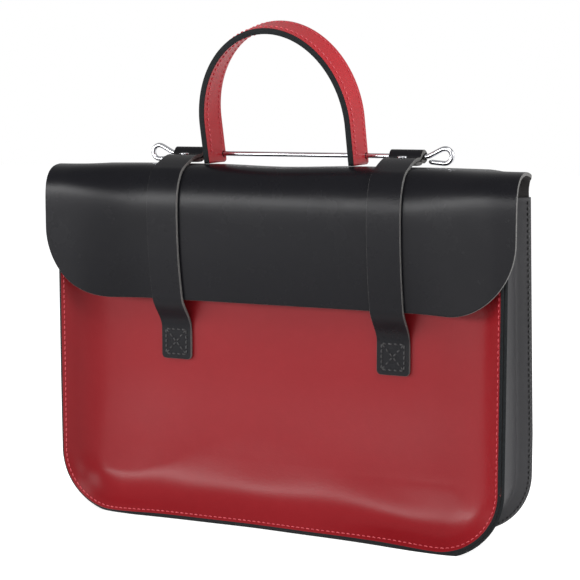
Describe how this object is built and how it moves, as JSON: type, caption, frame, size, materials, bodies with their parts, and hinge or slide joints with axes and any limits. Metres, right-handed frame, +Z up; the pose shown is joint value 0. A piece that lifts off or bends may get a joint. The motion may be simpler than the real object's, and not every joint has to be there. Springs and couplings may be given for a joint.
{
  "type": "satchel bag",
  "caption": "Flat leather music satchel with flared sewn rims, a wrap-over flap, sewn straps looped on a steel closing bar and an arched handle.",
  "frame": {"origin": "under the middle of the whole object's box, on the surface the bag stands on", "axes": "+X to the bag's right as its front is seen, -Y out of its front, +Z up"},
  "size_m": [0.4, 0.084, 0.4],
  "materials": {
    "panel_red": "smooth dyed leather, polished",
    "gusset_black": "smooth black leather, satin",
    "back_black": "smooth black leather, satin",
    "flap_black": "smooth black leather, satin",
    "strap_black": "smooth black strap leather",
    "handle_red": "smooth dyed leather, polished",
    "handle_core_black": "black filler leather with inked edges",
    "bar_steel": "polished nickel plate",
    "rivet_steel": "polished nickel plate",
    "thread_red": "waxed thread",
    "thread_black": "waxed thread"
  },
  "bodies": {
    "bag": {"front_panel": "panel_red", "gusset": "gusset_black", "back_panel": "back_black", "strap_end_left": "strap_black", "strap_end_right": "strap_black", "front_seam_thread": "thread_red", "back_seam_thread": "thread_black", "strap_thread_left": "thread_black", "strap_thread_right": "thread_black"},
    "flap": {"flap": "flap_black"},
    "straps": {"strap_left": "strap_black", "strap_right": "strap_black", "strap_rivet_left": "rivet_steel", "strap_rivet_right": "rivet_steel"},
    "bar": {"carry_bar": "bar_steel"},
    "handle": {"handle_outer_ply": "handle_red", "handle_core": "handle_core_black", "handle_inner_ply": "handle_red", "handle_front_thread": "thread_red", "handle_rear_thread": "thread_red"}
  },
  "joints": [
    {"name": "straps_swing", "type": "hinge", "parent": "bag", "child": "straps", "pos_m": [0, -0.0118, 0.153], "axis": [1, 0, 0], "range_deg": [0, 115]},
    {"name": "flap_open", "type": "hinge", "parent": "bag", "child": "flap", "pos_m": [0, -0.0086, 0.2863], "axis": [-1, 0, 0], "range_deg": [0, 23]},
    {"name": "handle_swing", "type": "hinge", "parent": "straps", "child": "handle", "pos_m": [0, 0.0169, 0.2946], "axis": [-1, 0, 0], "range_deg": [0, 100]},
    {"name": "bar_spin", "type": "hinge", "parent": "straps", "child": "bar", "pos_m": [0, 0.0169, 0.2946], "axis": [1, 0, 0], "range_deg": [-90, 90]}
  ],
  "couplings": [
    {"joint": "flap_open", "follows": "straps_swing", "ratio": 0.2}
  ]
}
